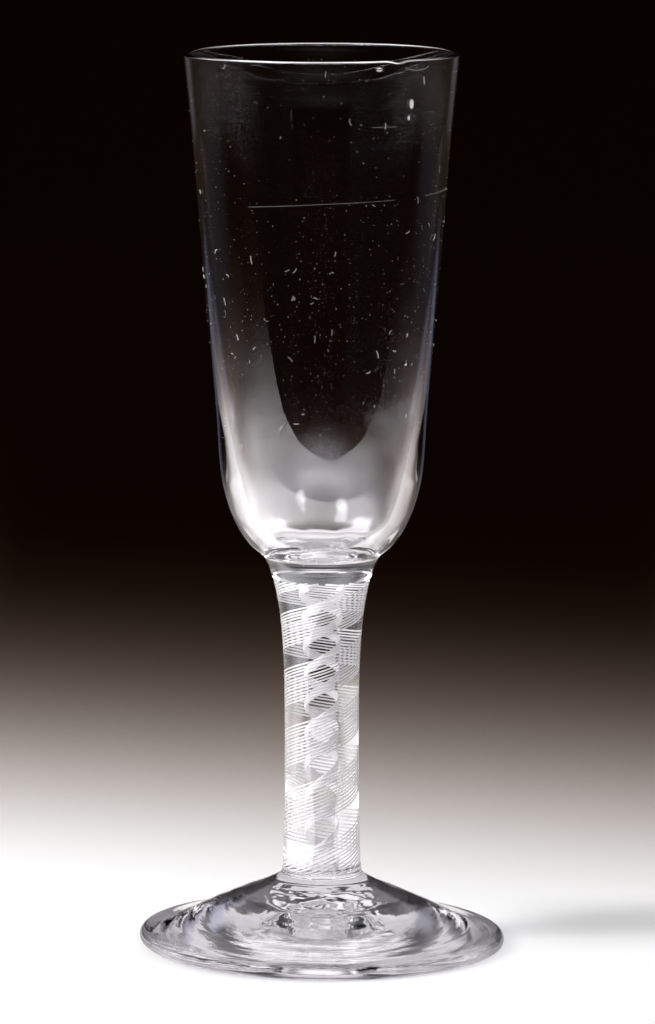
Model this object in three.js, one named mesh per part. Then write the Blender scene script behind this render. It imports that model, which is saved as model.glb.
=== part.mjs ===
// Opaque twist wine glass: a round funnel bowl on a straight stem, on a plain conical foot.
// The stem holds a double series opaque twist: two flat enamel tapes inside, and outside them
// a band of fine enamel threads, all twisted the same way.
// Millimetres, +Z up. The origin is the centre of the ring that the foot rests on.
import * as THREE from 'three';

// Overall sizes
const glassHeight = 185.6;
const stemBottom = 15.2;
const stemTop = 81.6;

// Bowl
const rimRadius = 28.2;
const rimWall = 1.1;
const bowlBaseRadius = 12;
const bowlBaseThickness = 1.2;

// Stem
const stemWaistRadius = 7.55;
const shoulderFlare = 4.35;
const shoulderRun = 9;
const stemFootFlare = 0.75;
const stemFootRun = 10;

// Enamel twist
const pitchAtFoot = 14.9;
const pitchAtShoulder = 11.1;
const threadCount = 12;
const threadDiameter = 0.32;
const outerSeriesRadius = 4.88;
const innerSeriesRadius = 2.08;
const seriesTopInset = 4.4;
const tapeThickness = 0.36;
const tapeWidth = 1.5;

// Foot
const footRadius = 38.1;
const footEdgeThickness = 3.2;
const restingRingWidth = 2.2;
const hollowDepth = 3.6;

// Clearances between glasses that are nested
const fitClearance = 0.1;
const endClearance = 0.2;

// Facets
const bowlFacets = 48;
const stemFacets = 36;
const coreFacets = 20;
const rimArcSteps = 4;
const edgeArcSteps = 5;
const stemRings = 12;
const boreRings = 8;
const stepsPerTurn = 12;

// The band of threads leaves one clear gap in each turn: the share of a turn between two threads,
// and the share of a turn by which the gap is turned at the foot end of the stem
const threadSpacingShare = 0.0545;
const gapTurnShare = 0.11;

// Outlines as shares. Bowl outside: share of the way from the base to the rim, outwards and upwards
const bowlOutsideShares = [
  [0, 0], [0.12, 0.0151], [0.2, 0.0272], [0.304, 0.0513], [0.384, 0.0754], [0.4475, 0.0994],
  [0.531, 0.1475], [0.572, 0.197], [0.61, 0.2913], [0.71, 0.471], [0.802, 0.649], [0.892, 0.827], [1, 1],
];
// Bowl inside: shares of the inside radius at the rim and of the depth, from the bottom up
const bowlInsideShares = [
  [0, 0], [0.18, 0.003], [0.34, 0.016], [0.45, 0.04], [0.53, 0.07], [0.6, 0.115], [0.658, 0.17],
  [0.706, 0.235], [0.798, 0.42], [0.874, 0.62], [0.938, 0.812], [1, 1],
];
// Foot, upper face: share of the way from the stem to the round edge, and share of the rise above it
const footTopShares = [
  [0, 1], [0.038, 0.93], [0.0955, 0.85], [0.168, 0.775], [0.276, 0.675],
  [0.42, 0.525], [0.6, 0.335], [0.78, 0.14], [0.924, 0.03], [1, 0],
];
// Foot, hollow underside: share of the way from the resting ring in to the axis, share of its depth
const hollowShares = [[0, 0], [0.1, 0.07], [0.3, 0.33], [0.5, 0.6], [0.7, 0.83], [0.88, 0.975], [1, 1]];

// Materials
const clearGlass = () => new THREE.MeshStandardMaterial({
  color: 0xe4ecee, roughness: 0.05, metalness: 0, transparent: true, opacity: 0.4,
});
const whiteEnamel = () => new THREE.MeshStandardMaterial({ color: 0xf3f0e9, roughness: 0.35, metalness: 0 });

// Radius of the stem's outer face at a height: a straight waist that flares to the shoulder and to the foot
function stemRadiusAt(z) {
  const shoulder = shoulderFlare * Math.exp((z - stemTop) / shoulderRun);
  const foot = stemFootFlare * Math.exp((stemBottom - z) / stemFootRun);
  return stemWaistRadius + shoulder + foot;
}

// What is inside the stem was drawn out together with it, so it swells where the stem swells
function drawnRadiusAt(waistRadius, z) {
  return waistRadius * stemRadiusAt(z) / stemWaistRadius;
}

// Angle of the twist at a height. The pitch tightens evenly from the foot to the shoulder
function twistAngleAt(z) {
  const rise = z - stemBottom;
  const rateAtFoot = 1 / pitchAtFoot;
  const rateGain = (1 / pitchAtShoulder - rateAtFoot) / (stemTop - stemBottom);
  return 2 * Math.PI * (gapTurnShare + rise * (rateAtFoot + rateGain * rise / 2));
}

// Points of an arc round (centreRadius, centreZ), from one angle to another, both ends included
function arcPoints(centreRadius, centreZ, radius, fromAngle, toAngle, steps) {
  return Array.from({ length: steps + 1 }, (_, i) => {
    const angle = fromAngle + (toAngle - fromAngle) * i / steps;
    return new THREE.Vector2(centreRadius + radius * Math.cos(angle), centreZ + radius * Math.sin(angle));
  });
}

// Evenly spaced heights, both ends included
function heights(fromZ, toZ, steps) {
  return Array.from({ length: steps + 1 }, (_, i) => fromZ + (toZ - fromZ) * i / steps);
}

// A closed solid turned round the Z axis from an outline of (radius, height) points
function turned(name, outline, facets, material) {
  const geometry = new THREE.LatheGeometry(outline, facets);
  geometry.rotateX(Math.PI / 2);
  const mesh = new THREE.Mesh(geometry, material);
  mesh.name = name;
  return mesh;
}

// A bar wound round the Z axis. Its section is a list of (outwards, upwards) corners that swells
// with the stem, and it follows the twist, turned by its own angle, from one height to the other
function woundBar(name, waistRadius, section, ownAngle, fromZ, toZ, material) {
  const turns = (twistAngleAt(toZ) - twistAngleAt(fromZ)) / (2 * Math.PI);
  const steps = Math.ceil(turns * stepsPerTurn);
  const corners = section.length;
  const positions = [];
  for (const z of heights(fromZ, toZ, steps)) {
    const angle = twistAngleAt(z) + ownAngle;
    const swell = drawnRadiusAt(1, z);
    for (const [outwards, upwards] of section) {
      const radius = swell * (waistRadius + outwards);
      positions.push(radius * Math.cos(angle), radius * Math.sin(angle), z + upwards);
    }
  }
  const faces = [];
  for (let ring = 0; ring < steps; ring += 1) {
    for (let corner = 0; corner < corners; corner += 1) {
      const next = (corner + 1) % corners;
      const here = ring * corners;
      const there = here + corners;
      faces.push(here + corner, there + next, here + next);
      faces.push(here + corner, there + corner, there + next);
    }
  }
  const last = steps * corners;
  for (let corner = 1; corner < corners - 1; corner += 1) {
    faces.push(0, corner, corner + 1);
    faces.push(last, last + corner + 1, last + corner);
  }
  const geometry = new THREE.BufferGeometry();
  geometry.setAttribute('position', new THREE.Float32BufferAttribute(positions, 3));
  geometry.setIndex(faces);
  geometry.computeVertexNormals();
  const mesh = new THREE.Mesh(geometry, material);
  mesh.name = name;
  return mesh;
}

// How far the flat facets of a wound bar cut inside the circle that it follows
function facetSag(radius) {
  return radius * (1 - Math.cos(Math.PI / stepsPerTurn));
}

// The enamel of both series ends below the shoulder
const seriesTop = stemTop - seriesTopInset;

// Waist radii of the clear glasses between the enamel series
const coreRadius = innerSeriesRadius - tapeThickness / 2 - facetSag(innerSeriesRadius) - fitClearance;
const sleeveBoreRadius = innerSeriesRadius + tapeThickness / 2 + fitClearance;
const sleeveRadius = outerSeriesRadius - threadDiameter / 2 - facetSag(outerSeriesRadius) - fitClearance;
const casingBoreRadius = outerSeriesRadius + threadDiameter / 2 + fitClearance;
const innerGlassTop = seriesTop + endClearance;
const casingBoreTop = innerGlassTop + endClearance;

function bowl() {
  const height = glassHeight - stemTop;
  const rimCentre = rimRadius - rimWall / 2;
  const rimZ = glassHeight - rimWall / 2;
  const outside = bowlOutsideShares.map(([out, up]) => new THREE.Vector2(
    bowlBaseRadius + out * (rimRadius - bowlBaseRadius),
    stemTop + up * (height - rimWall / 2),
  ));
  const insideBottom = stemTop + bowlBaseThickness;
  const inside = bowlInsideShares.map(([out, up]) => new THREE.Vector2(
    out * (rimRadius - rimWall),
    insideBottom + up * (rimZ - insideBottom),
  ));
  const outline = [
    new THREE.Vector2(0, stemTop),
    ...outside,
    ...arcPoints(rimCentre, rimZ, rimWall / 2, 0, Math.PI, rimArcSteps).slice(1, -1),
    ...inside.reverse(),
  ];
  return turned('bowl', outline, bowlFacets, clearGlass());
}

function foot() {
  const edgeRadius = footEdgeThickness / 2;
  const edgeCentre = footRadius - edgeRadius;
  const joinRadius = stemRadiusAt(stemBottom);
  const ringInside = edgeCentre - restingRingWidth;
  const top = footTopShares.map(([out, up]) => new THREE.Vector2(
    joinRadius + out * (edgeCentre - joinRadius),
    footEdgeThickness + up * (stemBottom - footEdgeThickness),
  ));
  const hollow = hollowShares.map(([inwards, up]) => new THREE.Vector2(
    ringInside * (1 - inwards),
    up * hollowDepth,
  ));
  const outline = [
    ...hollow.reverse(),
    ...arcPoints(edgeCentre, edgeRadius, edgeRadius, -Math.PI / 2, Math.PI / 2, edgeArcSteps).slice(0, -1),
    ...top.reverse(),
    new THREE.Vector2(0, stemBottom),
  ];
  return turned('foot', outline, bowlFacets, clearGlass());
}

// The outer gather: a flared tube, closed over the ends of the enamel at the shoulder
function stemCasing() {
  const outer = heights(stemBottom, stemTop, stemRings).map((z) => new THREE.Vector2(stemRadiusAt(z), z));
  const bore = heights(casingBoreTop, stemBottom, boreRings).map((z) => new THREE.Vector2(
    drawnRadiusAt(casingBoreRadius, z),
    z,
  ));
  const outline = [...bore, ...outer, new THREE.Vector2(0, stemTop)];
  outline.unshift(new THREE.Vector2(0, casingBoreTop));
  return turned('stem_casing', outline, stemFacets, clearGlass());
}

// The gather between the two series: a flared tube that closes on itself
function stemSleeve() {
  const outer = heights(stemBottom, innerGlassTop, boreRings).map((z) => new THREE.Vector2(
    drawnRadiusAt(sleeveRadius, z),
    z,
  ));
  const bore = heights(innerGlassTop, stemBottom, boreRings).map((z) => new THREE.Vector2(
    drawnRadiusAt(sleeveBoreRadius, z),
    z,
  ));
  return turned('stem_sleeve', [...outer, ...bore, outer[0]], stemFacets, clearGlass());
}

function innerCore() {
  const side = heights(stemBottom, innerGlassTop, boreRings).map((z) => new THREE.Vector2(
    drawnRadiusAt(coreRadius, z),
    z,
  ));
  const outline = [new THREE.Vector2(0, stemBottom), ...side, new THREE.Vector2(0, innerGlassTop)];
  return turned('inner_core', outline, coreFacets, clearGlass());
}

// One flat tape of the inner series. It lies on the core, and its width is square to its own run
function innerTape(name, ownAngle) {
  const meanPitch = (pitchAtFoot + pitchAtShoulder) / 2;
  const slope = Math.atan2(meanPitch, 2 * Math.PI * innerSeriesRadius);
  const half = tapeWidth / Math.cos(slope) / 2;
  const deep = tapeThickness / 2;
  const section = [[deep, -half], [deep, half], [-deep, half], [-deep, -half]];
  const fromZ = stemBottom + endClearance + half;
  return woundBar(name, innerSeriesRadius, section, ownAngle, fromZ, seriesTop - half, whiteEnamel());
}

// One thread of the outer band, counted from one side of the band to the other
function outerThread(index) {
  const half = threadDiameter / 2;
  const section = [[half, 0], [0, half], [-half, 0], [0, -half]];
  const middle = (threadCount - 1) / 2;
  const ownAngle = Math.PI + 2 * Math.PI * threadSpacingShare * (index - middle);
  const fromZ = stemBottom + endClearance + half;
  const name = `outer_thread_${String(index + 1).padStart(2, '0')}`;
  return woundBar(name, outerSeriesRadius, section, ownAngle, fromZ, seriesTop - half, whiteEnamel());
}

const glass = new THREE.Group();
glass.name = 'opaque_twist_wine_glass';
glass.add(bowl(), foot(), stemCasing(), stemSleeve(), innerCore());
glass.add(innerTape('inner_tape_a', Math.PI / 2), innerTape('inner_tape_b', -Math.PI / 2));
for (let index = 0; index < threadCount; index += 1) {
  glass.add(outerThread(index));
}

export default glass;
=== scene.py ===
# Opaque twist wine glass. Metres, +Z up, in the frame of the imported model.
# The clear glasses of bowl, stem and foot are fused on the real object, so one closed body stands for them.
import math
import bpy
import numpy as np
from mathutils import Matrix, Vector


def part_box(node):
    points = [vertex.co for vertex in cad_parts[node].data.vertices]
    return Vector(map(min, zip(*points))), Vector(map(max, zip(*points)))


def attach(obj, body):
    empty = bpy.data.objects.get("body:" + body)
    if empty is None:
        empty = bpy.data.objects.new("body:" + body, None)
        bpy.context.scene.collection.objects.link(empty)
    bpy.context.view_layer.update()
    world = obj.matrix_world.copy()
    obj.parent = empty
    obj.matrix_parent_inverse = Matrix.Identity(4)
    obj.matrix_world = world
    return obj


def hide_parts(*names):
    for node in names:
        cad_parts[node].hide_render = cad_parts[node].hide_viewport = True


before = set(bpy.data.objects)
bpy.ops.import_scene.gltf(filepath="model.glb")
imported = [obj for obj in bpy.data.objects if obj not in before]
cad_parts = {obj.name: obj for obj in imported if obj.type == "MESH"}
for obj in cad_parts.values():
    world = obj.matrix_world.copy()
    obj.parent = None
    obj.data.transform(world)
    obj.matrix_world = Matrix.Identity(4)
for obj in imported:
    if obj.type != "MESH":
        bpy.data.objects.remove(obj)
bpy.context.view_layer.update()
MM = 0.001
TURN = 2 * math.pi

# Sizes read from the frame
FOOT_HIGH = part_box("foot")[1]
STEM_LOW, STEM_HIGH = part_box("stem_casing")
BOWL_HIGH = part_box("bowl")[1]
FOOT_RADIUS = FOOT_HIGH.x
STEM_BOTTOM = STEM_LOW.z
STEM_TOP = STEM_HIGH.z
BOWL_BASE_RADIUS = STEM_HIGH.x
RIM_RADIUS = BOWL_HIGH.x
GLASS_TOP = BOWL_HIGH.z

# Bowl
RIM_WALL = 1.1 * MM
BOWL_BASE_THICKNESS = 1.2 * MM

# Stem
STEM_WAIST_RADIUS = 7.55 * MM
SHOULDER_FLARE = 4.35 * MM
SHOULDER_RUN = 9 * MM
STEM_FOOT_FLARE = 0.75 * MM
STEM_FOOT_RUN = 10 * MM

# Enamel twist
PITCH_AT_FOOT = 14.9 * MM
PITCH_AT_SHOULDER = 11.1 * MM
THREAD_COUNT = 12
THREAD_DIAMETER = 0.32 * MM
OUTER_SERIES_RADIUS = 4.88 * MM
INNER_SERIES_RADIUS = 2.08 * MM
INNER_TAPER_SHARE = 0.05
THREAD_JITTER_SHARE = 0.08
THREAD_SEED = 11
TAPE_THICKNESS = 0.36 * MM
TAPE_WIDTH = 1.5 * MM
SERIES_BOTTOM = STEM_BOTTOM + 0.4 * MM
SERIES_TOP = STEM_TOP - 4.4 * MM
THREAD_SPACING_SHARE = 0.0545
GAP_TURN_SHARE = 0.11

# Foot
FOOT_EDGE_THICKNESS = 3.2 * MM
RESTING_RING_WIDTH = 2.2 * MM
HOLLOW_DEPTH = 3.6 * MM

# Outlines as shares of the sizes that they follow
BOWL_OUTSIDE_SHARES = [
    (0, 0), (0.12, 0.0151), (0.2, 0.0272), (0.304, 0.0513), (0.384, 0.0754), (0.4475, 0.0994),
    (0.531, 0.1475), (0.572, 0.197), (0.61, 0.2913), (0.71, 0.471), (0.802, 0.649), (0.892, 0.827), (1, 1),
]
BOWL_INSIDE_SHARES = [
    (0, 0), (0.18, 0.003), (0.34, 0.016), (0.45, 0.04), (0.53, 0.07), (0.6, 0.115), (0.658, 0.17),
    (0.706, 0.235), (0.798, 0.42), (0.874, 0.62), (0.938, 0.812), (1, 1),
]
FOOT_TOP_SHARES = [
    (0, 1), (0.038, 0.93), (0.0955, 0.85), (0.168, 0.775), (0.276, 0.675),
    (0.42, 0.525), (0.6, 0.335), (0.78, 0.14), (0.924, 0.03), (1, 0),
]
HOLLOW_SHARES = [(0, 0), (0.1, 0.07), (0.3, 0.33), (0.5, 0.6), (0.7, 0.83), (0.88, 0.975), (1, 1)]

# Rings that the tools left on the foot: radius, height and half width of each
COLLAR_RING = (11 * MM, 0.08 * MM, 0.35 * MM)
TOOL_RINGS = [
    (16.6 * MM, 0.06 * MM, 0.45 * MM),
    (19.2 * MM, 0.04 * MM, 0.4 * MM),
    (22.6 * MM, 0.07 * MM, 0.5 * MM),
]
RING_PATCHES = 3
RING_PATCH_RUN = 4 * MM
RING_PATCH_SHARE = 0.4

# Uneven surfaces: height, shortest wave, longest wave and seed of each
FOOT_STREAKS = (0.013 * MM, 0.9 * MM, 3.6 * MM, 5)
HOLLOW_STREAKS = (0.016 * MM, 1.4 * MM, 6 * MM, 8)
BOWL_STREAKS = (0.005 * MM, 2 * MM, 9 * MM, 3)
BOWL_BASE_LUMPS = (0.035 * MM, 2 * MM, 7 * MM, 23)
PONTIL_LUMPS = (0.07 * MM, 1.2 * MM, 5 * MM, 21)
STREAK_WAVES = 14
STREAK_TURNS = 3
LUMP_WAVES = 24
WAVE_SUM_HEIGHT = 3

# Where the uneven surfaces start and end. A pair is a soft border, from its low end to its high end
FOOT_MIDDLE_RISE = HOLLOW_DEPTH + 1 * MM
FOOT_MIDDLE_BLEND = 0.6 * MM
UNDER_STEM = (STEM_BOTTOM - 1.2 * MM, STEM_BOTTOM)
HOLLOW_STREAKS_END = (29 * MM, 33 * MM)
PONTIL_RADIUS = 9.2 * MM
PONTIL_BLEND = 1 * MM
PONTIL_EDGE_DEPTH = 0.16 * MM
PONTIL_EDGE_WIDTH = 0.4 * MM
BOWL_STREAKS_START = (STEM_TOP + 4 * MM, STEM_TOP + 10 * MM)
BOWL_BASE_START = (STEM_TOP, STEM_TOP + 1 * MM)
BOWL_BASE_END = (STEM_TOP + 6 * MM, STEM_TOP + 11 * MM)
LEAST_RADIUS = 1 * MM

# The foot leans a little, and the rim dips at one place
FOOT_LEAN = math.radians(0.9)
FOOT_LEAN_END = (STEM_BOTTOM - 4 * MM, STEM_BOTTOM + 3 * MM)
RIM_DIP_ANGLE = math.radians(-56.5)
RIM_DIP_DEPTH = 0.5 * MM
RIM_DIP_WIDTH = 1.5 * MM
RIM_DIP_REACH = 3 * MM

# Mesh fineness. A stride keeps one point of the outline in so many
OUTLINE_STEP = 0.1 * MM
WALL_STEP = 1 * MM
FOOT_STRIDE = 4
PLAIN_STRIDE = 12
ROUND_FACETS = 176
SMOOTH_PASSES = 45
MELTED_END = (GLASS_TOP - 3 * RIM_WALL, GLASS_TOP - 2 * RIM_WALL)
FINE_RIM_START = GLASS_TOP - 1.5 * RIM_WALL
FINE_FOOT_END = STEM_BOTTOM + RIM_WALL
TWIST_STEPS_PER_TURN = 44
THREAD_SIDES = 8
TAPE_SIDES = 16
LINE_SIDES = 6
DUST_RINGS = 1
DUST_SIDES = 4
LUMP_RINGS = 9
LUMP_SIDES = 18


def eased(value, low, high):
    """Zero below low, one above high and smooth between."""
    share = np.clip((value - low) / (high - low), 0, 1)
    return share * share * (3 - 2 * share)


def stem_radius_at(z):
    shoulder = SHOULDER_FLARE * math.exp((z - STEM_TOP) / SHOULDER_RUN)
    foot = STEM_FOOT_FLARE * math.exp((STEM_BOTTOM - z) / STEM_FOOT_RUN)
    return STEM_WAIST_RADIUS + shoulder + foot


def drawn_radius_at(waist_radius, z):
    return waist_radius * stem_radius_at(z) / STEM_WAIST_RADIUS


def twist_angle_at(z):
    rise = z - STEM_BOTTOM
    rate_at_foot = 1 / PITCH_AT_FOOT
    rate_gain = (1 / PITCH_AT_SHOULDER - rate_at_foot) / (STEM_TOP - STEM_BOTTOM)
    return TURN * (GAP_TURN_SHARE + rise * (rate_at_foot + rate_gain * rise / 2))


def smooth_line(points):
    """A Catmull-Rom line through points, cut into pieces of about one step."""
    points = [np.array(p, float) for p in points]
    points = [2 * points[0] - points[1]] + points + [2 * points[-1] - points[-2]]
    line = []
    for a, b, c, d in zip(points, points[1:], points[2:], points[3:]):
        count = max(2, round(float(np.linalg.norm(c - b)) / OUTLINE_STEP))
        before = math.sqrt(np.linalg.norm(b - a))
        here = math.sqrt(np.linalg.norm(c - b))
        after = math.sqrt(np.linalg.norm(d - c))
        leaving = here * ((b - a) / before - (c - a) / (before + here) + (c - b) / here)
        arriving = here * ((c - b) / here - (d - b) / (here + after) + (d - c) / after)
        for i in range(count):
            t = i / count
            line.append(
                (2 * t**3 - 3 * t**2 + 1) * b + (t**3 - 2 * t**2 + t) * leaving
                + (3 * t**2 - 2 * t**3) * c + (t**3 - t**2) * arriving)
    line.append(points[-2])
    return line


def arc_line(centre, radius, from_angle, to_angle):
    steps = math.ceil(abs(to_angle - from_angle) * radius / OUTLINE_STEP) + 2
    return [
        np.array((centre[0] + radius * math.cos(a), centre[1] + radius * math.sin(a)))
        for a in np.linspace(from_angle, to_angle, steps)
    ]


def bowl_outside():
    """From the top of the stem up to the rim."""
    rim_z = GLASS_TOP - RIM_WALL / 2
    return smooth_line([
        (BOWL_BASE_RADIUS + out * (RIM_RADIUS - BOWL_BASE_RADIUS), STEM_TOP + up * (rim_z - STEM_TOP))
        for out, up in BOWL_OUTSIDE_SHARES
    ])


def glass_outline():
    """From the bottom of the bowl over the rim, down the outside and under the foot to the axis."""
    rim_z = GLASS_TOP - RIM_WALL / 2
    inside_bottom = STEM_TOP + BOWL_BASE_THICKNESS
    inside = smooth_line([
        (out * (RIM_RADIUS - RIM_WALL), inside_bottom + up * (rim_z - inside_bottom))
        for out, up in BOWL_INSIDE_SHARES
    ])
    rim = arc_line((RIM_RADIUS - RIM_WALL / 2, rim_z), RIM_WALL / 2, math.pi, 0)
    outside = bowl_outside()[::-1]
    stem_steps = round((STEM_TOP - STEM_BOTTOM) / OUTLINE_STEP)
    stem = [np.array((stem_radius_at(z), z)) for z in np.linspace(STEM_TOP, STEM_BOTTOM, stem_steps + 1)]
    edge = FOOT_EDGE_THICKNESS / 2
    edge_centre = FOOT_RADIUS - edge
    join = stem_radius_at(STEM_BOTTOM)
    top = smooth_line([
        (join + out * (edge_centre - join), FOOT_EDGE_THICKNESS + up * (STEM_BOTTOM - FOOT_EDGE_THICKNESS))
        for out, up in FOOT_TOP_SHARES
    ])
    round_edge = arc_line((edge_centre, edge), edge, math.pi / 2, -math.pi / 2)
    ring = edge_centre - RESTING_RING_WIDTH
    flat = smooth_line([(edge_centre, 0), (ring, 0)])
    hollow = smooth_line([(ring * (1 - inwards), up * HOLLOW_DEPTH) for inwards, up in HOLLOW_SHARES])
    return inside + rim[1:-1] + outside + stem[1:-1] + top + round_edge[1:-1] + flat + hollow[1:]


def melted(line):
    """The outline evenly spaced again, with its corners below the rim melted a little."""
    line = np.array(line)
    along = np.concatenate([[0], np.cumsum(np.linalg.norm(np.diff(line, axis=0), axis=1))])
    even = np.linspace(0, along[-1], round(along[-1] / OUTLINE_STEP) + 1)
    out = np.stack([np.interp(even, along, line[:, 0]), np.interp(even, along, line[:, 1])], 1)
    soft = 1 - eased(out[1:-1, 1:], *MELTED_END)
    for _ in range(SMOOTH_PASSES):
        smooth = (out[:-2] + 2 * out[1:-1] + out[2:]) / 4
        out[1:-1] += soft * (smooth - out[1:-1])
    out[0, 0] = 0
    out[-1, 0] = 0
    order = np.arange(len(out))
    kept = order % PLAIN_STRIDE == 0
    kept |= out[:, 1] > FINE_RIM_START
    kept |= (out[:, 1] < FINE_FOOT_END) & (order % FOOT_STRIDE == 0)
    kept[-1] = True
    return out[kept]


def streaks(across, angle, surface):
    """Uneven rings left by the tools: waves across the surface that wander a little round the axis."""
    height, shortest, longest, seed = surface
    random = np.random.default_rng(seed)
    waves = np.zeros(across.shape)
    for _ in range(STREAK_WAVES):
        wave = random.uniform(shortest, longest)
        turns = int(random.integers(-STREAK_TURNS, STREAK_TURNS + 1))
        start = random.uniform(0, TURN)
        waves += wave / longest * np.sin(TURN * across / wave + turns * angle + start)
    return height * waves / WAVE_SUM_HEIGHT


def lumps(x, y, surface):
    """An uneven field of waves that run in all directions."""
    height, shortest, longest, seed = surface
    random = np.random.default_rng(seed)
    waves = np.zeros(x.shape)
    for _ in range(LUMP_WAVES):
        wave = random.uniform(shortest, longest)
        heading = random.uniform(0, TURN)
        start = random.uniform(0, TURN)
        along = x * math.cos(heading) + y * math.sin(heading)
        waves += wave / longest * np.sin(TURN * along / wave + start)
    return height * waves / WAVE_SUM_HEIGHT


def ring_height(radius, ring):
    place, height, half_width = ring
    return height * np.exp(-((radius - place) / half_width) ** 2)


def top_of_foot(radius, angle):
    """How far the top of the foot stands proud of its plain cone."""
    patches = np.sin(RING_PATCHES * angle + radius / RING_PATCH_RUN)
    tool_rings = sum(ring_height(radius, ring) for ring in TOOL_RINGS)
    tool_rings = tool_rings * (1 - RING_PATCH_SHARE + RING_PATCH_SHARE * patches)
    return ring_height(radius, COLLAR_RING) + tool_rings + streaks(radius, angle, FOOT_STREAKS)


def hollow_of_foot(x, y, radius, angle):
    """How far the underside stands above its plain hollow, with the rough pontil mark in its middle."""
    under = streaks(radius, angle, HOLLOW_STREAKS) * (1 - eased(radius, *HOLLOW_STREAKS_END))
    in_pontil = 1 - eased(radius, PONTIL_RADIUS - PONTIL_BLEND, PONTIL_RADIUS)
    under += in_pontil * lumps(x, y, PONTIL_LUMPS)
    return under - ring_height(radius, (PONTIL_RADIUS, PONTIL_EDGE_DEPTH, PONTIL_EDGE_WIDTH))


def uneven_foot(points):
    x, y, z = points[..., 0], points[..., 1], points[..., 2]
    radius = np.hypot(x, y)
    angle = np.arctan2(y, x)
    middle = FOOT_EDGE_THICKNESS / 2 + FOOT_MIDDLE_RISE * (1 - radius / FOOT_RADIUS)
    above = eased(z, middle, middle + FOOT_MIDDLE_BLEND)
    below_stem = 1 - eased(z, *UNDER_STEM)
    z = z + above * below_stem * top_of_foot(radius, angle)
    z = z + (1 - above) * hollow_of_foot(x, y, radius, angle)
    lean = -math.tan(FOOT_LEAN) * x * (1 - eased(z, *FOOT_LEAN_END))
    return np.stack([x, y, np.maximum(z + lean, 0)], -1)


def uneven_bowl(points):
    x, y, z = points[..., 0], points[..., 1], points[..., 2]
    radius = np.hypot(x, y)
    angle = np.arctan2(y, x)
    on_bowl = eased(z, *BOWL_STREAKS_START)
    swell = 1 + on_bowl * streaks(z, angle, BOWL_STREAKS) / np.maximum(radius, LEAST_RADIUS)
    in_base = eased(z, *BOWL_BASE_START) * (1 - eased(z, *BOWL_BASE_END))
    z = z + in_base * lumps(x, y, BOWL_BASE_LUMPS)
    near_rim = eased(z, GLASS_TOP - RIM_DIP_REACH, GLASS_TOP)
    away = (np.mod(angle - RIM_DIP_ANGLE + math.pi, TURN) - math.pi) * RIM_RADIUS
    dip = RIM_DIP_DEPTH * np.exp(-(away / RIM_DIP_WIDTH) ** 2) * near_rim
    return np.stack([x * swell, y * swell, z - dip], -1)


def add_mesh(name, vertices, faces, material):
    mesh = bpy.data.meshes.new(name)
    mesh.from_pydata([tuple(v) for v in vertices], [], faces)
    mesh.validate()
    for polygon in mesh.polygons:
        polygon.use_smooth = True
    obj = bpy.data.objects.new(name, mesh)
    bpy.context.scene.collection.objects.link(obj)
    obj.data.materials.append(material)
    return obj


def turned(name, outline, material):
    """A closed solid turned round Z from an outline that starts and ends on the axis."""
    inner = outline[1:-1]
    angles = np.arange(ROUND_FACETS) * TURN / ROUND_FACETS
    rings = np.stack([
        np.outer(inner[:, 0], np.cos(angles)),
        np.outer(inner[:, 0], np.sin(angles)),
        np.repeat(inner[:, 1:2], ROUND_FACETS, 1),
    ], -1)
    rings = uneven_bowl(uneven_foot(rings)).reshape(-1, 3)
    vertices = list(rings) + [(0, 0, outline[0][1]), (0, 0, outline[-1][1])]
    first, last = len(rings), len(rings) + 1
    faces = []
    for ring in range(len(inner) - 1):
        for i in range(ROUND_FACETS):
            j = (i + 1) % ROUND_FACETS
            a, b = ring * ROUND_FACETS, (ring + 1) * ROUND_FACETS
            faces.append((a + i, b + i, b + j, a + j))
    end = (len(inner) - 1) * ROUND_FACETS
    for i in range(ROUND_FACETS):
        j = (i + 1) % ROUND_FACETS
        faces.append((first, i, j))
        faces.append((last, end + j, end + i))
    return add_mesh(name, vertices, faces, material)


def bar_faces(steps, sides):
    faces = []
    for k in range(steps):
        for s in range(sides):
            n = (s + 1) % sides
            a, b = k * sides, (k + 1) * sides
            faces.append((a + s, b + s, b + n, a + n))
    faces.append(tuple(range(sides)))
    faces.append(tuple(steps * sides + s for s in reversed(range(sides))))
    return faces


def wound_bar(name, waist_radius, taper, half_out, half_wide, own_angle, from_z, to_z, sides, material):
    """A bar of oval section wound round Z with the twist. The taper widens it above."""
    steps = math.ceil((twist_angle_at(to_z) - twist_angle_at(from_z)) / TURN * TWIST_STEPS_PER_TURN)
    pitch = (PITCH_AT_FOOT + PITCH_AT_SHOULDER) / 2
    lean = math.atan2(pitch, TURN * waist_radius)
    vertices = []
    for k in range(steps + 1):
        z = from_z + (to_z - from_z) * k / steps
        angle = twist_angle_at(z) + own_angle
        swell = drawn_radius_at(1, z)
        wound_radius = waist_radius * (1 + taper * (2 * k / steps - 1))
        radial = np.array((math.cos(angle), math.sin(angle), 0))
        around = np.array((-math.sin(angle), math.cos(angle), 0))
        across = -math.sin(lean) * around + math.cos(lean) * np.array((0, 0, 1))
        centre = radial * wound_radius * swell + np.array((0, 0, z))
        for s in range(sides):
            turn = TURN * s / sides
            offset = radial * half_out * math.cos(turn) + across * half_wide * math.sin(turn)
            vertices.append(centre + offset * swell)
    return add_mesh(name, vertices, bar_faces(steps, sides), material)


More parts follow.
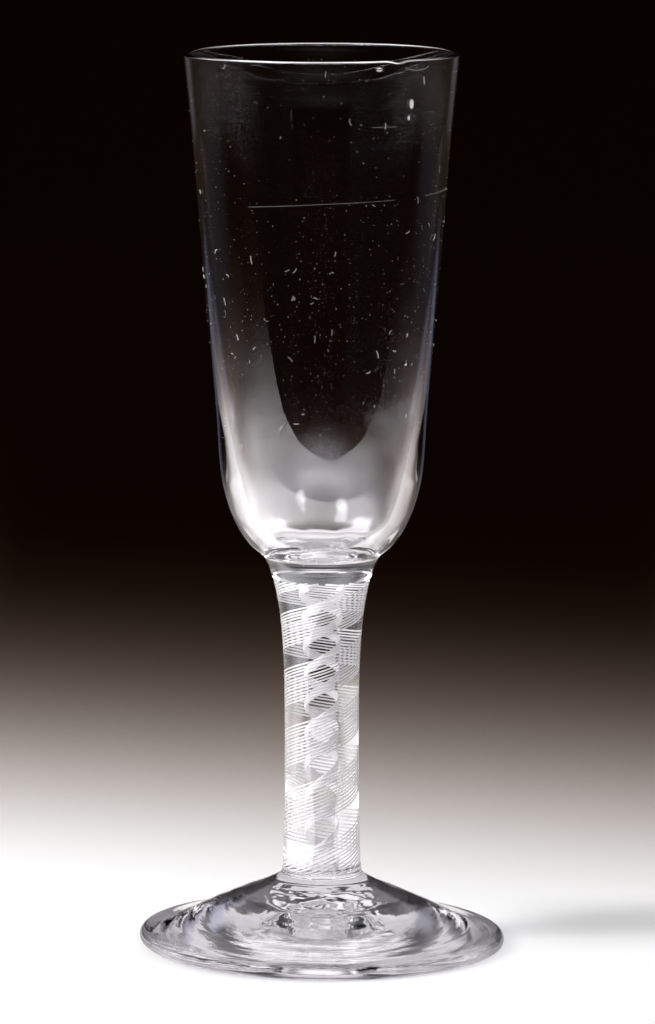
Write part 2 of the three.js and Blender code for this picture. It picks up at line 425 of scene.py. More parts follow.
def thin_line(points, radius):
    """Vertices and faces of a thin round line through points on the wall."""
    vertices = []
    for k, point in enumerate(points):
        ahead = points[min(k + 1, len(points) - 1)] - points[max(k - 1, 0)]
        ahead = ahead / np.linalg.norm(ahead)
        across = np.cross((point[0], point[1], 0), ahead)
        across /= np.linalg.norm(across)
        outwards = np.cross(ahead, across)
        for s in range(LINE_SIDES):
            turn = TURN * s / LINE_SIDES
            vertices.append(point + radius * (math.cos(turn) * outwards + math.sin(turn) * across))
    return vertices, bar_faces(len(points) - 1, LINE_SIDES)


def oval_lump(centre, half_wide, half_high, half_out, rings, sides):
    """Vertices and faces of an oval lump in the wall."""
    outwards = np.array((centre[0], centre[1], 0)) / math.hypot(centre[0], centre[1])
    up = np.array((0, 0, 1))
    around = np.cross(up, outwards)
    vertices = [centre + up * half_high]
    for k in range(1, rings + 1):
        tilt = math.pi * k / (rings + 1)
        for s in range(sides):
            turn = TURN * s / sides
            sideways = outwards * half_out * math.cos(turn) + around * half_wide * math.sin(turn)
            vertices.append(centre + up * half_high * math.cos(tilt) + sideways * math.sin(tilt))
    vertices.append(centre - up * half_high)
    last = len(vertices) - 1
    faces = []
    for s in range(sides):
        n = (s + 1) % sides
        faces.append((0, 1 + s, 1 + n))
        faces.append((last, last - sides + n, last - sides + s))
        for k in range(rings - 1):
            a, b = 1 + k * sides, 1 + (k + 1) * sides
            faces.append((a + s, b + s, b + n, a + n))
    return vertices, faces


def add_joined(name, parts, material):
    """One mesh from several lists of vertices and faces."""
    vertices = []
    faces = []
    for part_vertices, part_faces in parts:
        faces += [tuple(len(vertices) + v for v in face) for face in part_faces]
        vertices += list(part_vertices)
    return add_mesh(name, vertices, faces, material)


# Materials. A noise has a scale, a detail and a stretch, and a pair of shades is the darker and the lighter
GLASS_IOR = 1.55
GLASS_TINT = (0.985, 0.975, 0.995, 1)
BOWL_SHADE = (0.96, 0.96, 0.98)
FOOT_SHADE = (0.8, 0.795, 0.82)
SHADE_CHANGE = (STEM_BOTTOM - 3 * MM, STEM_BOTTOM + 3 * MM)
CORD_NOISE = (230, 2, (1, 1, 0.3))
CORD_SHARE = 0.25
STREAK_DENSITY = 1500
STREAK_BREAKS = 110
STREAK_DETAIL = 3
STREAK_DEPTH = 0.016 * MM
STREAKS_END = (STEM_BOTTOM - 2 * MM, STEM_BOTTOM)
ENAMEL_NOISE = (900, 3, (1, 1, 0.5))
ENAMEL_CLOUDS = (0.3, 0.7)
ENAMEL_SHADES = ((0.93, 0.915, 0.92), (0.98, 0.975, 0.97))
ENAMEL_ROUGHNESS = 0.4
ENAMEL_GRAIN_NOISE = (2600, 2, (1, 1, 0.4))
ENAMEL_GRAIN = 0.01 * MM
GRIT_NOISE = (500, 2, (1, 1, 1))
GRIT_SHADES = ((0.7, 0.66, 0.6), (0.98, 0.96, 0.92))
GRIT_ROUGHNESS = 0.9
SCRATCH_NOISE = (700, 2, (1, 1, 1))
SCRATCH_SHADES = ((0.1, 0.1, 0.1), (0.7, 0.7, 0.7))
SCRATCH_ROUGHNESS = 0.6
BUBBLE_NOISE = (400, 1, (1, 1, 1))


def calc(tree, operation, *values):
    """A Math node fed with numbers or sockets."""
    node = tree.nodes.new("ShaderNodeMath")
    node.operation = operation
    for socket, value in zip(node.inputs, values):
        if isinstance(value, bpy.types.NodeSocket):
            tree.links.new(value, socket)
        else:
            socket.default_value = value
    return node.outputs[0]


def soft_rise(tree, value, low, high):
    """Zero below low, one above high and smooth between."""
    node = tree.nodes.new("ShaderNodeMapRange")
    node.interpolation_type = "SMOOTHSTEP"
    tree.links.new(value, node.inputs["Value"])
    node.inputs["From Min"].default_value = low
    node.inputs["From Max"].default_value = high
    return node.outputs["Result"]


def soft_fall(tree, value, low, high):
    """One below low and zero above high."""
    return inverse(tree, soft_rise(tree, value, low, high))


def inverse(tree, value):
    return calc(tree, "SUBTRACT", 1, value)


def product(tree, *values):
    result = values[0]
    for value in values[1:]:
        result = calc(tree, "MULTIPLY", result, value)
    return result


def between(tree, share, start, end):
    """The number that lies that share of the way from start to end."""
    return calc(tree, "ADD", calc(tree, "MULTIPLY", share, end - start), start)


def total(tree, *values):
    result = values[0]
    for value in values[1:]:
        result = calc(tree, "ADD", result, value)
    return result


def tinted(tree, factor, dark, bright):
    node = tree.nodes.new("ShaderNodeMix")
    node.data_type = "RGBA"
    node.clamp_factor = False
    tree.links.new(factor, node.inputs["Factor"])
    for socket, colour in zip((node.inputs["A"], node.inputs["B"]), (dark, bright)):
        if isinstance(colour, bpy.types.NodeSocket):
            tree.links.new(colour, socket)
        else:
            socket.default_value = (*colour, 1)
    return node.outputs["Result"]


def added(tree, colour, more):
    node = tree.nodes.new("ShaderNodeMix")
    node.data_type = "RGBA"
    node.blend_type = "ADD"
    node.inputs["Factor"].default_value = 1
    tree.links.new(colour, node.inputs["A"])
    tree.links.new(more, node.inputs["B"])
    return node.outputs["Result"]


def distance(tree, place, point):
    node = tree.nodes.new("ShaderNodeVectorMath")
    node.operation = "DISTANCE"
    tree.links.new(place, node.inputs[0])
    node.inputs[1].default_value = point
    return node.outputs["Value"]


def noise(tree, scale, detail, stretch):
    """Noise over the object's own metres."""
    coordinates = tree.nodes.new("ShaderNodeTexCoord").outputs["Object"]
    mapping = tree.nodes.new("ShaderNodeMapping")
    tree.links.new(coordinates, mapping.inputs["Vector"])
    mapping.inputs["Scale"].default_value = stretch
    node = tree.nodes.new("ShaderNodeTexNoise")
    tree.links.new(mapping.outputs[0], node.inputs["Vector"])
    node.inputs["Scale"].default_value = scale
    node.inputs["Detail"].default_value = detail
    return node.outputs["Fac"]


def foot_streaks(tree):
    """Fine rings round the axis, on the foot alone."""
    coordinates = tree.nodes.new("ShaderNodeTexCoord").outputs["Object"]
    axes = tree.nodes.new("ShaderNodeSeparateXYZ")
    tree.links.new(coordinates, axes.inputs[0])
    x, y, z = axes.outputs
    squares = calc(tree, "ADD", calc(tree, "MULTIPLY", x, x), calc(tree, "MULTIPLY", y, y))
    around = tree.nodes.new("ShaderNodeCombineXYZ")
    tree.links.new(calc(tree, "MULTIPLY", calc(tree, "SQRT", squares), STREAK_DENSITY), around.inputs[0])
    tree.links.new(calc(tree, "MULTIPLY", x, STREAK_BREAKS), around.inputs[1])
    tree.links.new(calc(tree, "MULTIPLY", y, STREAK_BREAKS), around.inputs[2])
    node = tree.nodes.new("ShaderNodeTexNoise")
    tree.links.new(around.outputs[0], node.inputs["Vector"])
    node.inputs["Scale"].default_value = 1
    node.inputs["Detail"].default_value = STREAK_DETAIL
    return product(tree, node.outputs["Fac"], soft_fall(tree, z, *STREAKS_END))


def bumpy(tree, shader, height, depth):
    bump = tree.nodes.new("ShaderNodeBump")
    bump.inputs["Distance"].default_value = depth
    tree.links.new(height, bump.inputs["Height"])
    tree.links.new(bump.outputs["Normal"], shader.inputs["Normal"])


def new_material(name):
    material = bpy.data.materials.new(name)
    material.use_nodes = True
    return material, material.node_tree, material.node_tree.nodes["Principled BSDF"]


def glass_material():
    """Clear lead glass with faint upright cords. Lamps shine through it onto what is behind it."""
    material, tree, glass = new_material("clear_glass")
    glass.inputs["Base Color"].default_value = GLASS_TINT
    glass.inputs["Roughness"].default_value = 0
    glass.inputs["IOR"].default_value = GLASS_IOR
    glass.inputs["Transmission Weight"].default_value = 1
    cords = calc(tree, "MULTIPLY", noise(tree, *CORD_NOISE), CORD_SHARE)
    bumpy(tree, glass, calc(tree, "ADD", cords, foot_streaks(tree)), STREAK_DEPTH)
    clear = tree.nodes.new("ShaderNodeBsdfTransparent")
    axes = tree.nodes.new("ShaderNodeSeparateXYZ")
    tree.links.new(tree.nodes.new("ShaderNodeTexCoord").outputs["Object"], axes.inputs[0])
    above_foot = soft_rise(tree, axes.outputs[2], *SHADE_CHANGE)
    tree.links.new(tinted(tree, above_foot, FOOT_SHADE, BOWL_SHADE), clear.inputs["Color"])
    path = tree.nodes.new("ShaderNodeLightPath")
    mix = tree.nodes.new("ShaderNodeMixShader")
    tree.links.new(path.outputs["Is Shadow Ray"], mix.inputs[0])
    tree.links.new(glass.outputs[0], mix.inputs[1])
    tree.links.new(clear.outputs[0], mix.inputs[2])
    tree.links.new(mix.outputs[0], tree.nodes["Material Output"].inputs["Surface"])
    return material


def enamel_material():
    """Opaque white glass, a little uneven in its white where it was drawn out."""
    material, tree, shader = new_material("white_enamel")
    cloudy = soft_rise(tree, noise(tree, *ENAMEL_NOISE), *ENAMEL_CLOUDS)
    tree.links.new(tinted(tree, cloudy, *ENAMEL_SHADES), shader.inputs["Base Color"])
    bumpy(tree, shader, noise(tree, *ENAMEL_GRAIN_NOISE), ENAMEL_GRAIN)
    shader.inputs["Roughness"].default_value = ENAMEL_ROUGHNESS
    return material


def dust_material():
    """Pale grit, a little darker here and there."""
    material, tree, shader = new_material("pale_grit")
    tree.links.new(tinted(tree, noise(tree, *GRIT_NOISE), *GRIT_SHADES), shader.inputs["Base Color"])
    shader.inputs["Roughness"].default_value = GRIT_ROUGHNESS
    return material


def scratch_material():
    """Ground glass, as in a scratch."""
    material, tree, shader = new_material("scratched_glass")
    tree.links.new(tinted(tree, noise(tree, *SCRATCH_NOISE), *SCRATCH_SHADES), shader.inputs["Base Color"])
    shader.inputs["Roughness"].default_value = SCRATCH_ROUGHNESS
    return material


def bubble_material():
    """Air closed in by the glass."""
    material, tree, shader = new_material("air_bubble")
    shader.inputs["Base Color"].default_value = (1, 1, 1, 1)
    shader.inputs["Roughness"].default_value = 0
    shader.inputs["IOR"].default_value = 1 / GLASS_IOR
    shader.inputs["Transmission Weight"].default_value = 1
    bumpy(tree, shader, noise(tree, *BUBBLE_NOISE), STREAK_DEPTH)
    return material


# The fused glass
GLASS = glass_material()
ENAMEL = enamel_material()
body = turned("clear_glass_body", melted(glass_outline()), GLASS)
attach(body, "root")
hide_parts("bowl", "foot", "stem_casing", "stem_sleeve", "inner_core")

# The inner series of the twist, two tapes half a turn apart
for letter, own_angle in (("a", math.pi / 2), ("b", -math.pi / 2)):
    tape = wound_bar(
        "enamel_tape_" + letter, INNER_SERIES_RADIUS, INNER_TAPER_SHARE, TAPE_THICKNESS / 2, TAPE_WIDTH / 2,
        own_angle, SERIES_BOTTOM + TAPE_WIDTH / 2, SERIES_TOP - TAPE_WIDTH / 2, TAPE_SIDES, ENAMEL)
    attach(tape, "root")
    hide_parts("inner_tape_" + letter)

# The outer series, a band of threads
random = np.random.default_rng(THREAD_SEED)
for index in range(THREAD_COUNT):
    number = str(index + 1).zfill(2)
    place = index - (THREAD_COUNT - 1) / 2 + random.uniform(-THREAD_JITTER_SHARE, THREAD_JITTER_SHARE)
    own_angle = math.pi + TURN * THREAD_SPACING_SHARE * place
    half = THREAD_DIAMETER / 2 * (1 + random.uniform(-THREAD_JITTER_SHARE, THREAD_JITTER_SHARE))
    thread = wound_bar(
        "enamel_thread_" + number, OUTER_SERIES_RADIUS, 0, half, half, own_angle,
        SERIES_BOTTOM, SERIES_TOP, THREAD_SIDES, ENAMEL)
    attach(thread, "root")
    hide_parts("outer_thread_" + number)

# Marks on the bowl. A place is an angle from the front to the right in degrees and a height in millimetres
DUST_SEED = 17
DUST_COUNT = 720
DUST_SMALLEST = 0.035 * MM
DUST_LARGEST = 0.12 * MM
DUST_HEIGHTS = (98 * MM, 134 * MM, 194 * MM)
DUST_TOP = 182 * MM
FIBRE_COUNT = 60
FIBRE_RADIUS = 0.05 * MM
FIBRE_LENGTHS = (0.6 * MM, 2 * MM)
FIBRE_POINTS = 7
FIBRE_CURL = 2.5
SCRATCH_RADIUS = 0.022 * MM
CHIP_RADIUS = 0.05 * MM
SCRATCHES = [
    [(-35.5, 155.86), (-18, 156.35), (-0.7, 156.82), (17, 157.06), (35.2, 157.29)],
    [(54.5, 157.6), (70, 157.8), (85.1, 157.97)],
    [(22, 172.25), (28, 172.2), (34.5, 172.15)],
]
RIM_CHIP = [(36.6, 184.1), (40, 183.6), (44, 183.4), (48, 183.6), (50, 184)]

# Bubbles and unmelted stones: place, half width, half height and half depth in millimetres
BUBBLES = [((25.06, 183.9), 0.95, 0.5, 0.3), ((50.1, 123.2), 0.5, 0.45, 0.3)]
STONES = [((41.6, 176.6), 0.5, 0.95, 0.3), ((40.5, 173.8), 0.28, 0.45, 0.2)]
BUBBLE_DEPTH = RIM_WALL / 2
STONE_DEPTH = 0.1 * MM
WALL = np.array(bowl_outside())


def on_wall(angle, z, inwards):
    """The point at an angle and a height, that far inside the bowl's outside."""
    radius = float(np.interp(z, WALL[:, 1], WALL[:, 0])) - inwards
    return np.array((radius * math.sin(angle), -radius * math.cos(angle), z))


def wall_line(places, inwards):
    """Points along a line on the wall, about a step apart."""
    ends = [(math.radians(angle), z * MM) for angle, z in places]
    line = []
    for (angle, z), (next_angle, next_z) in zip(ends, ends[1:]):
        steps = math.ceil(abs(next_angle - angle) * RIM_RADIUS / WALL_STEP)
        for i in range(steps):
            share = i / steps
            line.append(on_wall(angle + (next_angle - angle) * share, z + (next_z - z) * share, inwards))
    return line + [on_wall(*ends[-1], inwards)]


def dust_height(random):
    return min(random.triangular(*DUST_HEIGHTS), DUST_TOP)


def grain(random):
    """Vertices and faces of one grain of dust."""
    place = on_wall(random.uniform(0, TURN), dust_height(random), 0)
    half_wide, half_high = random.uniform(DUST_SMALLEST, DUST_LARGEST, 2)
    return oval_lump(place, half_wide, half_high, DUST_SMALLEST, DUST_RINGS, DUST_SIDES)


def fibre(random):
    """Vertices and faces of one short curled hair."""
    angle = random.uniform(0, TURN)
    z = dust_height(random)
    length = random.uniform(*FIBRE_LENGTHS)
    heading = random.uniform(0, TURN)
    curl = random.uniform(-FIBRE_CURL, FIBRE_CURL)
    line = []
    for _ in range(FIBRE_POINTS):
        line.append(on_wall(angle, z, 0))
        heading += curl / FIBRE_POINTS
        angle += math.cos(heading) * length / FIBRE_POINTS / RIM_RADIUS
        z += math.sin(heading) * length / FIBRE_POINTS
    return thin_line(line, FIBRE_RADIUS)


def dust_parts():
    random = np.random.default_rng(DUST_SEED)
    grains = [grain(random) for _ in range(DUST_COUNT)]
    return grains + [fibre(random) for _ in range(FIBRE_COUNT)]


def lumps_in_wall(entries, depth):
    """Bubbles or stones, that far inside the bowl's outside."""
    parts = []
    for (angle, z), half_wide, half_high, half_out in entries:
        centre = on_wall(math.radians(angle), z * MM, depth)
        halves = (half_wide * MM, half_high * MM, half_out * MM)
        parts.append(oval_lump(centre, *halves, LUMP_RINGS, LUMP_SIDES))
    return parts


grit = dust_material()
scratch_parts = [thin_line(wall_line(places, 0), SCRATCH_RADIUS) for places in SCRATCHES]
scratch_parts.append(thin_line(wall_line(RIM_CHIP, 0), CHIP_RADIUS))
for name, parts, material, slot in (
        ("dust", dust_parts(), grit, "white_enamel"),
        ("stones", lumps_in_wall(STONES, STONE_DEPTH), grit, "white_enamel"),
        ("scratches", scratch_parts, scratch_material(), "clear_glass"),
        ("bubbles", lumps_in_wall(BUBBLES, BUBBLE_DEPTH), bubble_material(), "clear_glass")):
    mark = add_joined(name, parts, material)
    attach(mark, "root")

# Stage. What shows only in or through the glass is kept from all other rays
FLOOR_RADIUS = 4.0
FLOOR_DROP = 0.05 * MM
FLOOR_SIDES = 96
FLOOR_WHITE = 0.92
FLOOR_BLACK = (0.0034, 0.0011, 0.0004)
FLOOR_ROUGHNESS = 0.9
BLACK = (0, 0, 0)
FIRST_BOUNCE = 0.5

# How the floor's painted light falls off into the dark behind and to the sides. A pair is a soft border,
# from its low end to its high end
FADE_START = 0.034
FADE_LENGTH = 0.15
FADE_POWER = 1.6
FADE_SLANT = 0.33
FADE_TINT = (0.93, 1.03, 1.1)
MIDDLE_HALF_WIDTH = 0.1
WIDENED_SIDES = (0.085, 0.13)
WIDENING_LEFT_SHARE = 0.52
WIDENING_RIGHT_SHARE = 0.4
LEFT_TO_RIGHT = (-0.05, 0.05)
LIT_RADIUS = 0.24
LIT_RADIUS_IN_FRONT = 0.15
FRONT_TO_BACK = (-0.1, 0.1)

# Painted shadow in the floor's colour, to the right of the foot, where the key light's real shadow also
# falls
PAINTED_SHADOW_START = (0.03, 0.06)
PAINTED_SHADOW_END = (0.09, 0.25)
PAINTED_SHADOW_PLACE = 0.02
PAINTED_SHADOW_HALF_WIDTH = 0.034
PAINTED_SHADOW_DROP_SHARE = 0.3

# What the glass alone shows of the floor: the sheet's front edge, a ring of painted shade round the foot,
# painted pools of light and a painted glow behind
SHEET_EDGE = -0.16
SHEET_SLANT = -0.17
SHEET_SOFTNESS = 0.004
SHEET_BORDER = (SHEET_EDGE - SHEET_SOFTNESS / 2, SHEET_EDGE + SHEET_SOFTNESS / 2)
NEAR_FOOT_START = (0.03, 0.038)
NEAR_FOOT_END = (0.042, 0.06)
NEAR_FOOT_PAINTED_SHADE_SHARE = 0.42
# Painted pools of light: centre, reach and strength of each
PAINTED_LIGHT_POOLS = [((-0.12, -0.05, 0), 0.185, 4.2), ((0.1, -0.09, 0), 0.07, 3.3)]
HOT_POWER = 3
HOT_START = (0.07, 0.1)
HOT_END = (-0.02, 0.1)
PAINTED_POOL_COLOUR = (1, 0.99, 1.02)
# Painted glow on the floor behind the glass
BACK_GLOW_START = (0.16, 0.2)
BACK_GLOW_END = (0.28, 0.32)
BACK_GLOW_SIDES = (0.045, 0.08)
BACK_GLOW_COLOUR = (0.75, 0.75, 0.78)

# Dim cards that fan out at the back, and the dim room round them, painted into the floor's glow, which only
# the glass shows
LEAST_BACK = 0.01
FAN_START = (0.24, 0.36)
FAN_END = (0.45, 0.7)
CARD_START = (0.3, 0.42)
CARD_END = (0.7, 0.95)
CARD_COLOUR = (0.12, 0.13, 0.18)
FAR_CARD_START = (1.3, 2.2)
FAR_CARD_COLOUR = (0.085, 0.08, 0.085)
FAR_ROOM_BACK = (0, 0.2)
FAR_ROOM_START = (0.8, 1.2)
FAR_ROOM_SIDES = (0.1, 0.3)
FAR_ROOM_COLOUR = (0.014, 0.011, 0.008)
DIM_END = (0, 0.5)
DIM_COLOUR = (0.012, 0.01, 0.008)
SIDE_ROOM_SIDES = (0.35, 0.55)
SIDE_ROOM_START = (0.05, 0.25)
SIDE_ROOM_END = (0.4, 0.8)
SIDE_ROOM_COLOUR = (0.03, 0.034, 0.045)


def seen_in_glass(tree):
    """One for rays that look at the room in or through the glass, before anything plain scatters them."""
    path = tree.nodes.new("ShaderNodeLightPath")
    mirrored = calc(tree, "MAXIMUM", path.outputs["Is Glossy Ray"], path.outputs["Is Transmission Ray"])
    return product(tree, mirrored, calc(tree, "LESS_THAN", path.outputs["Diffuse Depth"], FIRST_BOUNCE))


def fade_depth(tree, right, back, sideways, radius):
    """How deep a place lies in the floor's painted falloff of light. It is zero in the white part."""
    near_right = calc(tree, "MINIMUM", calc(tree, "MAXIMUM", right, -MIDDLE_HALF_WIDTH), MIDDLE_HALF_WIDTH)
    slanted = calc(tree, "ADD", back, calc(tree, "MULTIPLY", near_right, FADE_SLANT))
    behind = calc(tree, "SUBTRACT", slanted, FADE_START)
    on_right = soft_rise(tree, right, *LEFT_TO_RIGHT)
    widening = between(tree, on_right, WIDENING_LEFT_SHARE, WIDENING_RIGHT_SHARE)
    widened = product(tree, soft_rise(tree, sideways, *WIDENED_SIDES), widening)
    behind = product(tree, behind, inverse(tree, widened))
    in_front = soft_fall(tree, back, *FRONT_TO_BACK)
    away = calc(tree, "SUBTRACT", radius, between(tree, in_front, LIT_RADIUS, LIT_RADIUS_IN_FRONT))
    faded = calc(tree, "MAXIMUM", calc(tree, "MAXIMUM", behind, away), 0)
    return calc(tree, "POWER", calc(tree, "DIVIDE", faded, FADE_LENGTH), FADE_POWER)


def floor_colour(tree, depth, right, back, radius, sheet, in_glass):
    """White that fades with depth as its painted light falls off, less what lies in front of the sheet, the
    painted shade near the foot and the painted shadow right of the foot.
    """
    beyond_edge = product(tree, in_glass, inverse(tree, sheet))
    # Painted shade: a darker ring of floor round the foot, which only the glass shows
    painted_shade_near_foot = product(
        tree, in_glass, soft_rise(tree, radius, *NEAR_FOOT_START), soft_fall(tree, radius, *NEAR_FOOT_END),
        NEAR_FOOT_PAINTED_SHADE_SHARE)
    # Painted shadow: a soft darker band in the floor's colour to the right of the foot
    off_painted_shadow = calc(tree, "ABSOLUTE", calc(tree, "SUBTRACT", back, PAINTED_SHADOW_PLACE))
    painted_shadow = product(
        tree, soft_rise(tree, right, *PAINTED_SHADOW_START), soft_fall(tree, right, *PAINTED_SHADOW_END),
        soft_fall(tree, off_painted_shadow, 0, PAINTED_SHADOW_HALF_WIDTH), PAINTED_SHADOW_DROP_SHARE)
    kept = product(tree, inverse(tree, beyond_edge), inverse(tree, painted_shade_near_foot), inverse(tree, painted_shadow))
    colour = tree.nodes.new("ShaderNodeCombineColor")
    for channel, tint, black in zip(colour.inputs, FADE_TINT, FLOOR_BLACK):
        level = calc(tree, "EXPONENT", calc(tree, "MULTIPLY", depth, -tint))
        level = calc(tree, "ADD", calc(tree, "MULTIPLY", level, FLOOR_WHITE), black)
        tree.links.new(product(tree, level, kept), channel)
    return colour.outputs[0]


def painted_light_pools(tree, place, back, radius, sheet):
    """Painted pools of light on the sheet, brighter than white."""
    patches = []
    for centre, reach, strength in PAINTED_LIGHT_POOLS:
        spread = calc(tree, "DIVIDE", distance(tree, place, centre), reach)
        patch = calc(tree, "EXPONENT", calc(tree, "MULTIPLY", calc(tree, "POWER", spread, HOT_POWER), -1))
        patches.append(calc(tree, "MULTIPLY", patch, strength))
    off_foot = soft_rise(tree, radius, *HOT_START)
    return product(tree, total(tree, *patches), sheet, off_foot, soft_fall(tree, back, *HOT_END))


def floor_glow(tree, painted_pools, back, sideways, radius):
    """Painted light that only the glass shows: the pools in front, a glow behind and the dim cards and
    room, each in its own colour.
    """
    back_glow = product(
        tree, soft_rise(tree, back, *BACK_GLOW_START), soft_fall(tree, radius, *BACK_GLOW_END),
        soft_fall(tree, sideways, *BACK_GLOW_SIDES))
    lean = calc(tree, "DIVIDE", sideways, calc(tree, "MAXIMUM", back, LEAST_BACK))
    fan = product(tree, soft_rise(tree, lean, *FAN_START), soft_fall(tree, lean, *FAN_END))
    card = product(tree, fan, soft_rise(tree, back, *CARD_START), soft_fall(tree, radius, *CARD_END))
    far_card = product(tree, fan, soft_rise(tree, radius, *FAR_CARD_START))
    far_room = product(
        tree, soft_rise(tree, back, *FAR_ROOM_BACK), soft_rise(tree, radius, *FAR_ROOM_START),
        soft_rise(tree, sideways, *FAR_ROOM_SIDES))
    side_room = product(
        tree, soft_rise(tree, sideways, *SIDE_ROOM_SIDES), soft_rise(tree, back, *SIDE_ROOM_START),
        soft_fall(tree, back, *SIDE_ROOM_END))
    glow = tinted(tree, painted_pools, BLACK, PAINTED_POOL_COLOUR)
    for amount, colour in (
            (back_glow, BACK_GLOW_COLOUR), (card, CARD_COLOUR), (far_card, FAR_CARD_COLOUR),
            (far_room, FAR_ROOM_COLOUR), (soft_fall(tree, back, *DIM_END), DIM_COLOUR),
            (side_room, SIDE_ROOM_COLOUR)):
        glow = added(tree, glow, tinted(tree, amount, BLACK, colour))
    return glow


def floor_material():
    """A white sheet whose painted light fades into the dark, with a painted shadow right of the foot. The
    glass also shows its front edge, a painted shade round the foot and painted light.
    """
    material, tree, shader = new_material("floor")
    shader.inputs["Roughness"].default_value = FLOOR_ROUGHNESS
    shader.inputs["Specular IOR Level"].default_value = 0
    place = tree.nodes.new("ShaderNodeNewGeometry").outputs["Position"]
    axes = tree.nodes.new("ShaderNodeSeparateXYZ")
    tree.links.new(place, axes.inputs[0])
    right = axes.outputs[0]
    back = axes.outputs[1]
    sideways = calc(tree, "ABSOLUTE", right)
    radius = distance(tree, place, (0, 0, 0))
    in_glass = seen_in_glass(tree)
    along = calc(tree, "ADD", back, calc(tree, "MULTIPLY", right, SHEET_SLANT))
    sheet = soft_rise(tree, along, *SHEET_BORDER)
    depth = fade_depth(tree, right, back, sideways, radius)
    colour = floor_colour(tree, depth, right, back, radius, sheet, in_glass)
    tree.links.new(colour, shader.inputs["Base Color"])
    glow = floor_glow(tree, painted_light_pools(tree, place, back, radius, sheet), back, sideways, radius)
    tree.links.new(tinted(tree, in_glass, BLACK, glow), shader.inputs["Emission Color"])
    shader.inputs["Emission Strength"].default_value = 1
    return material


ring = []
for index in range(FLOOR_SIDES):
    turn = TURN * index / FLOOR_SIDES
    ring.append((FLOOR_RADIUS * math.cos(turn), FLOOR_RADIUS * math.sin(turn), -FLOOR_DROP))
floor = add_mesh("floor", ring, [tuple(range(FLOOR_SIDES))], floor_material())

# Key light
KEY_PLACE = (-0.86, -0.3, 0.56)
KEY_TARGET = (0, 0, 0.05)
KEY_SIZE = 0.3
KEY_POWER = 9
light = bpy.data.lights.new("key_softbox", "AREA")
light.size = KEY_SIZE
light.energy = KEY_POWER
key = bpy.data.objects.new("key_softbox", light)
bpy.context.scene.collection.objects.link(key)
key.location = KEY_PLACE
key.rotation_euler = (Vector(KEY_TARGET) - Vector(KEY_PLACE)).to_track_quat("-Z", "Y").to_euler()
key.visible_glossy = False
key.visible_transmission = False

# The room above the floor, as the glass mirrors it: white tents, and two lamps in the one in front
DARK_ROOM = (0.0037, 0.0025, 0.0015)
PLAIN_LIGHT = (0.75, 0.745, 0.755)
TENT_COLOUR = (1, 0.98, 1.02)
TENT_BOTTOM = (0.13, 0.3)
TENT_LOW_LEVEL = 3.6
TENT_TOP = (0.35, 0.75)
TENT_HIGH_DROP = 3.45
TENT_BACK = (0.12, 0.6)
TENT_SIDES = (0.2, 1)
BACK_TENT_LEVEL = 1.0
BACK_TENT_BOTTOM = (0.36, 0.48)
BACK_TENT_START = (0.4, 0.6)
BACK_TENT_SIDES = (0.12, 0.5)
SIDE_TENT_COLOUR = (0.38, 0.37, 0.47)
SIDE_TENT_BOTTOM = (0.15, 0.25)
SIDE_TENT_TOP = (0.4, 0.6)
SIDE_TENT_START = (0.7, 0.85)
SIDE_TENT_TURN = (-0.5, 0.5)
LEFT_TENT_SHARE = 0.3
# Direction, half angle and strength of each lamp
TENT_LAMPS = [((-0.48, -0.5, 0.72), 0.13, 13), ((0.5, -0.62, 0.6), 0.11, 6)]
LAMP_OUTER_SHARE = 1.2
LAMP_INNER_SHARE = 0.9


def lamp_spot(tree, direction, towards, half_angle):
    """One in a lamp's round face and zero outside it."""
    facing = tree.nodes.new("ShaderNodeVectorMath")
    facing.operation = "DOT_PRODUCT"
    tree.links.new(direction, facing.inputs[0])
    facing.inputs[1].default_value = Vector(towards).normalized()
    outer = math.cos(half_angle * LAMP_OUTER_SHARE)
    inner = math.cos(half_angle * LAMP_INNER_SHARE)
    return soft_rise(tree, facing.outputs["Value"], outer, inner)


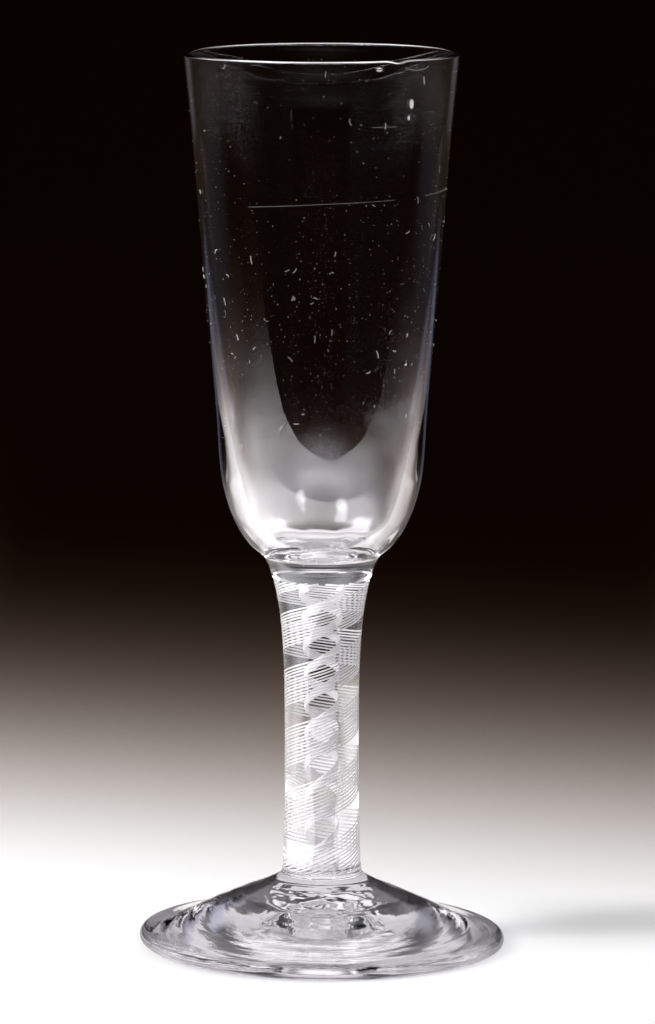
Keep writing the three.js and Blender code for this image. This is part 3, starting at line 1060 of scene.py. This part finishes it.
def room(tree):
    """The colour of the room in every direction."""
    direction = tree.nodes.new("ShaderNodeTexCoord").outputs["Generated"]
    axes = tree.nodes.new("ShaderNodeSeparateXYZ")
    tree.links.new(direction, axes.inputs[0])
    right, back, up = axes.outputs
    sideways = calc(tree, "ABSOLUTE", right)
    low = calc(tree, "MULTIPLY", soft_rise(tree, up, *TENT_BOTTOM), TENT_LOW_LEVEL)
    high = calc(tree, "MULTIPLY", soft_rise(tree, up, *TENT_TOP), TENT_HIGH_DROP)
    front_tent = product(
        tree, calc(tree, "SUBTRACT", low, high), soft_fall(tree, back, *TENT_BACK),
        soft_fall(tree, sideways, *TENT_SIDES))
    back_tent = product(
        tree, soft_rise(tree, up, *BACK_TENT_BOTTOM), soft_rise(tree, back, *BACK_TENT_START),
        soft_fall(tree, sideways, *BACK_TENT_SIDES), BACK_TENT_LEVEL)
    levels = [front_tent, back_tent]
    for towards, half_angle, strength in TENT_LAMPS:
        levels.append(calc(tree, "MULTIPLY", lamp_spot(tree, direction, towards, half_angle), strength))
    colour = tinted(tree, total(tree, *levels), DARK_ROOM, TENT_COLOUR)
    on_right = soft_rise(tree, right, *SIDE_TENT_TURN)
    side_tent = product(
        tree, soft_rise(tree, up, *SIDE_TENT_BOTTOM), soft_fall(tree, up, *SIDE_TENT_TOP),
        soft_rise(tree, sideways, *SIDE_TENT_START), between(tree, on_right, LEFT_TENT_SHARE, 1))
    return added(tree, colour, tinted(tree, side_tent, BLACK, SIDE_TENT_COLOUR))


world = bpy.data.worlds.new("studio")
bpy.context.scene.world = world
world.use_nodes = True
tree = world.node_tree
path = tree.nodes.new("ShaderNodeLightPath")
seen = calc(tree, "MAXIMUM", path.outputs["Is Camera Ray"], seen_in_glass(tree))
tree.links.new(tinted(tree, seen, PLAIN_LIGHT, room(tree)), tree.nodes["Background"].inputs["Color"])

# Camera, fitted to the photograph's outline
CAMERA_DISTANCE = 1.26219
CAMERA_HEIGHT = 0.27526
CAMERA_RIGHT = 0.00119
CAMERA_PITCH = math.radians(8.32)
CAMERA_LENS = 217.2
CAMERA_SENSOR = 36
CAMERA_NEAR = 0.05
CAMERA_FAR = 50
camera_data = bpy.data.cameras.new("camera")
camera_data.lens = CAMERA_LENS
camera_data.sensor_width = CAMERA_SENSOR
camera_data.clip_start = CAMERA_NEAR
camera_data.clip_end = CAMERA_FAR
camera = bpy.data.objects.new("camera", camera_data)
bpy.context.scene.collection.objects.link(camera)
camera.location = (CAMERA_RIGHT, -CAMERA_DISTANCE, CAMERA_HEIGHT)
camera.rotation_euler = (math.pi / 2 - CAMERA_PITCH, 0, 0)
bpy.context.scene.camera = camera

# Bounces enough for rays through all the walls of the glass
GLASS_BOUNCES = 24
GLOSSY_BOUNCES = 12
DIFFUSE_BOUNCES = 8
bpy.context.scene.view_settings.view_transform = "Standard"
cycles = bpy.context.scene.cycles
cycles.max_bounces = GLASS_BOUNCES
cycles.transmission_bounces = GLASS_BOUNCES
cycles.transparent_max_bounces = GLASS_BOUNCES
cycles.glossy_bounces = GLOSSY_BOUNCES
cycles.diffuse_bounces = DIFFUSE_BOUNCES
